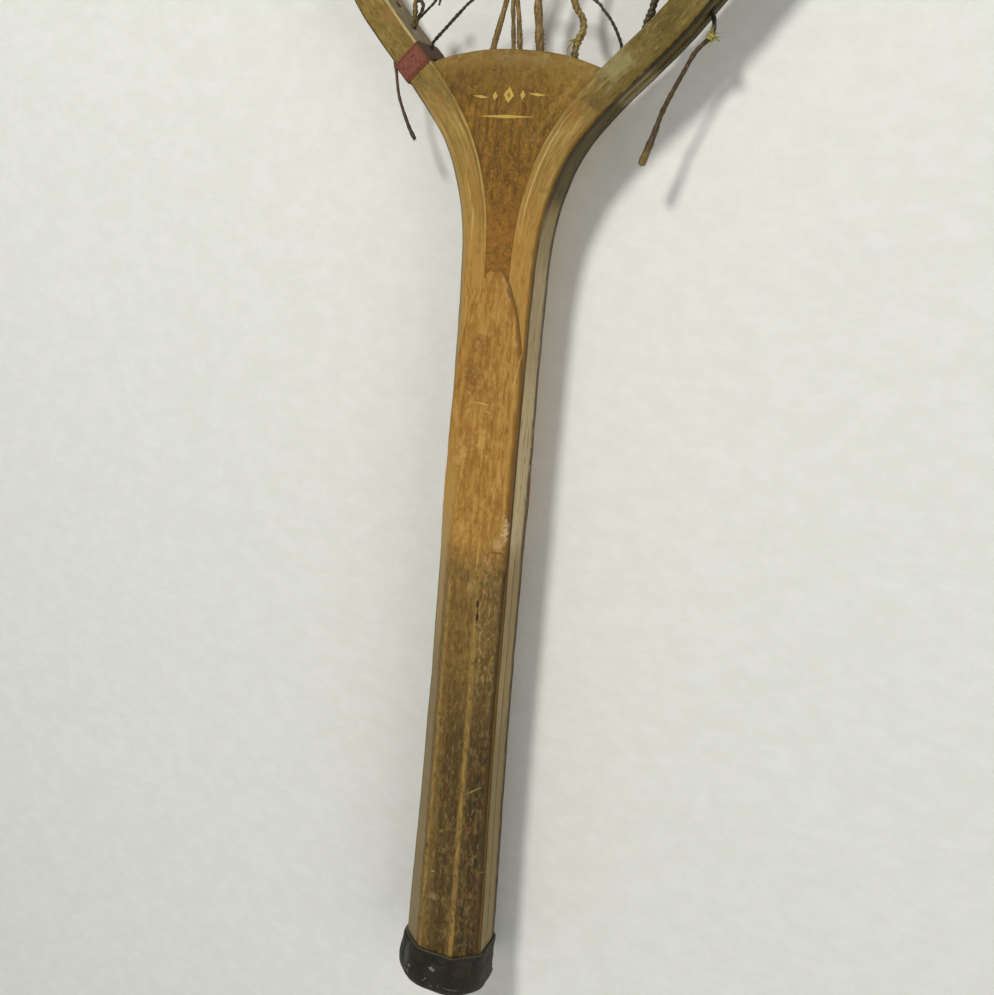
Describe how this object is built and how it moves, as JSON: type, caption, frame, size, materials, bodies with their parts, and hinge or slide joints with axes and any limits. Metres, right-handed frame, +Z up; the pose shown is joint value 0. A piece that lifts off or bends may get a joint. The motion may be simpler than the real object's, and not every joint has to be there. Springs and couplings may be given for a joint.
{
  "type": "wooden racket",
  "caption": "Old wooden racket with a bent ash hoop, a darker wedge throat, an eight-sided handle with a leather butt band and the slack remains of its strings.",
  "frame": {"origin": "middle of the butt's flat end face, where the handle ends", "axes": "+Z up the racket's length from the butt to the top of the head, +X to the right as one looks at the front face, -Y out of the front face, +Y out of the back face"},
  "size_m": [0.234, 0.041, 0.6863],
  "materials": {
    "ash": "old yellowed varnish over pale bent wood, worn and dirty",
    "mahogany": "mottled reddish brown wood under worn varnish",
    "handle_wood": "orange brown wood, darkened to brown where hands held it, with worn pale ridges",
    "leather": "black brown leather, scuffed",
    "red_cloth": "dull crimson woven tape, frayed at its edges",
    "gut": "twisted gut, brown and dull",
    "dark_gut": "twisted gut, nearly black, frayed"
  },
  "bodies": {
    "root": {"arch_string": "dark_gut", "back_handle_slab": "handle_wood", "bow": "ash", "broken_main_string": "gut", "butt_band": "leather", "cross_strings_1": "gut", "cross_strings_2": "gut", "cross_strings_3": "gut", "front_handle_slab": "handle_wood", "knotted_string": "dark_gut", "left_tail": "dark_gut", "main_strings_1": "gut", "main_strings_2": "gut", "right_tail": "dark_gut", "short_main_strings_left": "gut", "short_main_strings_right": "gut", "shoulder_binding": "red_cloth", "throat_wedge": "mahogany", "tuft_loop_string": "dark_gut", "tuft_strand": "dark_gut"}
  },
  "joints": []
}
